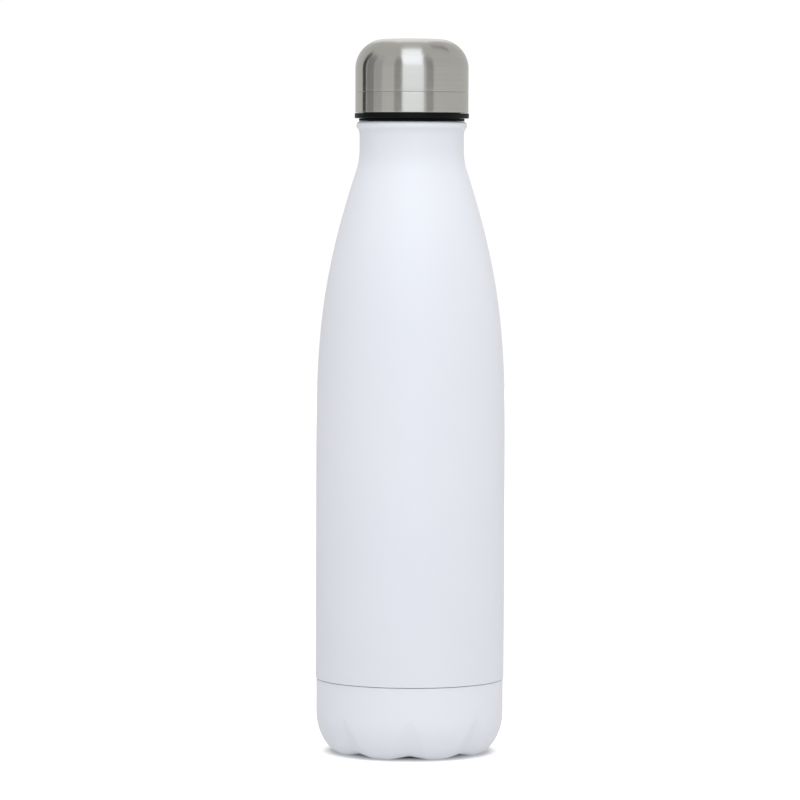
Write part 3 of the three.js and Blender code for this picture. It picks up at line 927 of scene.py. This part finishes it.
GROOVE_HEIGHT = 244.5
GROOVE_HALF = 0.14
GROOVE_DEPTH = 0.18
GROOVE_BESIDE = 2
groove = rounded(
    [
        (cap_radius, GROOVE_HEIGHT - GROOVE_BESIDE),
        (cap_radius, GROOVE_HEIGHT - GROOVE_HALF),
        (cap_radius - GROOVE_DEPTH, GROOVE_HEIGHT),
        (cap_radius, GROOVE_HEIGHT + GROOVE_HALF),
        (cap_radius, GROOVE_HEIGHT + GROOVE_BESIDE),
    ],
    0.03,
)
cap_rim = rim_section(cap_radius - SHEET, cap_radius, cap_foot, 1, 0.18)
cap_inside = np.vstack((dome(SHEET)[::-1], [(cap_radius - SHEET, GROOVE_HEIGHT)]))
cap_outline = np.vstack((cap_inside, cap_rim, groove, dome(0)))
cap = turned("cap_shell_brushed", cap_outline, "lid", around=FINE_AROUND)
cap.data.materials.append(stainless("brushed_steel", "#CDCCC8", 0.2, 0.94, 0.000003))
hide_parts("cap_shell")


# ---- Studio ----------------------------------------------------------------------------------------------
# A white table in a pale room. A tall softbox stands behind the camera, a brighter one hangs over it, and a
# white panel stands behind the bottle. Dark and grey flags round it put the bands into the polished cap.

TABLE = (5.0, 5.0)
GLOW_RAMP = 0.008


def aim(thing, place, target):
    """Puts a light or a panel at a place, facing a point."""
    thing.location = place
    away = Vector(place) - Vector(target)
    thing.rotation_euler = away.to_track_quat("Z", "Y").to_euler()


def soft_light(name, place, target, size, watts, colour=(1, 1, 1)):
    """A rectangular light that the camera doesn't see, with its watts per square metre."""
    data = bpy.data.lights.new(name, "AREA")
    data.shape = "RECTANGLE"
    data.size, data.size_y = size
    data.energy = watts * size[0] * size[1]
    data.color = colour
    light = bpy.data.objects.new(name, data)
    light.visible_camera = False
    bpy.context.scene.collection.objects.link(light)
    aim(light, place, target)
    return light


def panel(name, place, target, size, brightness, glow=0.0, glow_free_radius=0.0):
    """A flat matt rectangle that belongs to the studio. It may glow outside a radius, in metres, and not
    inside it. The glow is painted light, which washes the bottle's shadow out of the floor beyond that
    radius.
    """
    x, y = size[0] / 2, size[1] / 2
    mesh = bpy.data.meshes.new(name)
    mesh.from_pydata([(-x, -y, 0), (x, -y, 0), (x, y, 0), (-x, y, 0)], [], [(0, 1, 2, 3)])
    material, tree = new_material(name)
    inputs = {"Base Color": (brightness,) * 3 + (1,), "Roughness": 0.9, "Specular IOR Level": 0.0}
    # Painted light: the emission rises from nothing at the radius to full strength over the ramp, and lifts
    # the floor's shade beyond it.
    if glow:
        place_on = add(tree, "TexCoord").outputs["Object"]
        distance = add(tree, "VectorMath", {0: place_on}, operation="LENGTH")
        reach = {"From Min": glow_free_radius, "From Max": glow_free_radius + GLOW_RAMP, "To Min": 0.0, "To Max": glow}
        strength = add(tree, "MapRange", {"Value": distance.outputs["Value"], **reach})
        inputs["Emission Color"] = (1, 1, 1, 1)
        inputs["Emission Strength"] = strength.outputs["Result"]
    principled(tree, inputs)
    mesh.materials.append(material)
    plane = bpy.data.objects.new(name, mesh)
    bpy.context.scene.collection.objects.link(plane)
    aim(plane, place, target)
    plane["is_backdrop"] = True
    return plane


def flag(name, azimuth, distance, width, height, brightness):
    """A panel that stands beside the bottle, unseen by the camera. Azimuth counts from the camera side."""
    turn = math.radians(azimuth)
    x, y = distance * math.sin(turn), -distance * math.cos(turn)
    plane = panel(name, (x, y, height / 2), (0, 0, height / 2), (width, height), brightness)
    plane.visible_camera = False


# The table that the camera sees glows with painted light from 29 mm out. This fills in the bottle's shadow
# there, so the shadow shows only in a narrow band round the feet. The one that lights the bottle from below
# is darker. It glows with painted light of its own from 20 mm out, and lies half a millimetre under it.
UNDER_TABLE = -0.0005
table = panel("table", (0, 0, 0), (0, 0, -1), TABLE, 0.9, glow=0.6, glow_free_radius=0.029)
table.visible_diffuse = False
table.visible_glossy = False
table.visible_shadow = False
bounce_place = (0, 0, UNDER_TABLE)
bounce = panel("table_bounce", bounce_place, (0, 0, -1), TABLE, 0.4, glow=0.35, glow_free_radius=0.02)
bounce.visible_camera = False

BACKDROP_STRENGTH = 1.02
ROOM_STRENGTH = 0.6
world = bpy.data.worlds.new("pale_room")
world.use_nodes = True
world.node_tree.nodes.clear()
ray = add(world.node_tree, "LightPath")
shown = add(world.node_tree, "Background", {"Color": (1, 1, 1, 1), "Strength": BACKDROP_STRENGTH})
room = add(world.node_tree, "Background", {"Color": (1, 0.99, 0.96, 1), "Strength": ROOM_STRENGTH})
sorts = {0: ray.outputs["Is Camera Ray"], 1: room.outputs[0], 2: shown.outputs[0]}
add(world.node_tree, "OutputWorld", {"Surface": add(world.node_tree, "MixShader", sorts).outputs[0]})
bpy.context.scene.world = world

COOL = (0.85, 0.91, 1.0)
soft_light("front_softbox", (0.12, -2.3, 0.65), (0.12, 0, 0.65), (1.82, 1.3), 2.2, COOL)
soft_light("upper_softbox", (0.02, -1.7, 1.58), (0.02, -0.21, 0), (1.56, 1.42), 3.4, COOL)
high = soft_light("high_softbox", (-0.02, -0.75, 2.18), (-0.02, -0.21, 0), (1.1, 0.82), 3.2, COOL)
high.visible_diffuse = False
overhead = soft_light("overhead_softbox", (0, 0, 2.4), (0, 0, 0), (3, 3), 5.0)
overhead.visible_glossy = False
soft_light("back_panel", (0, 2.0, 1.75), (0, 0, 0.6), (0.9, 1.9), 1.9)
flag("black_flag", -113.5, 1.2, 0.26, 1.1, 0.04)
flag("grey_flag", -94, 1.2, 0.46, 1.1, 0.3)
flag("soft_flag", -72, 1.3, 0.4, 1.3, 0.5)
flag("left_flag", -29, 1.9, 0.48, 2.0, 0.35)
flag("right_flag", 37, 1.9, 0.5, 2.0, 0.35)
beam = panel("ceiling_beam", (0.72, 0.47, 1.45), (0, 0, 0.25), (0.22, 0.6), 0.25)
beam.visible_camera = False

bpy.context.scene.view_settings.view_transform = "Standard"
bpy.context.scene.view_settings.look = "None"

CAMERA_DISTANCE = 1.681
CAMERA_HEIGHT = 0.226
CAMERA_ASIDE = -0.00396
LOOK_DOWN = 0.05667
ROLL = math.radians(0.22)
SENSOR_WIDTH = 36
FOCAL_LENGTH = 204.5
camera_data = bpy.data.cameras.new("camera")
camera_data.sensor_width = SENSOR_WIDTH
camera_data.lens = FOCAL_LENGTH
camera = bpy.data.objects.new("camera", camera_data)
bpy.context.scene.collection.objects.link(camera)
tilt = Matrix.Rotation(math.pi / 2 - LOOK_DOWN, 4, "X") @ Matrix.Rotation(ROLL, 4, "Z")
camera.matrix_world = Matrix.Translation((CAMERA_ASIDE, -CAMERA_DISTANCE, CAMERA_HEIGHT)) @ tilt
bpy.context.scene.camera = camera

low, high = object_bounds()
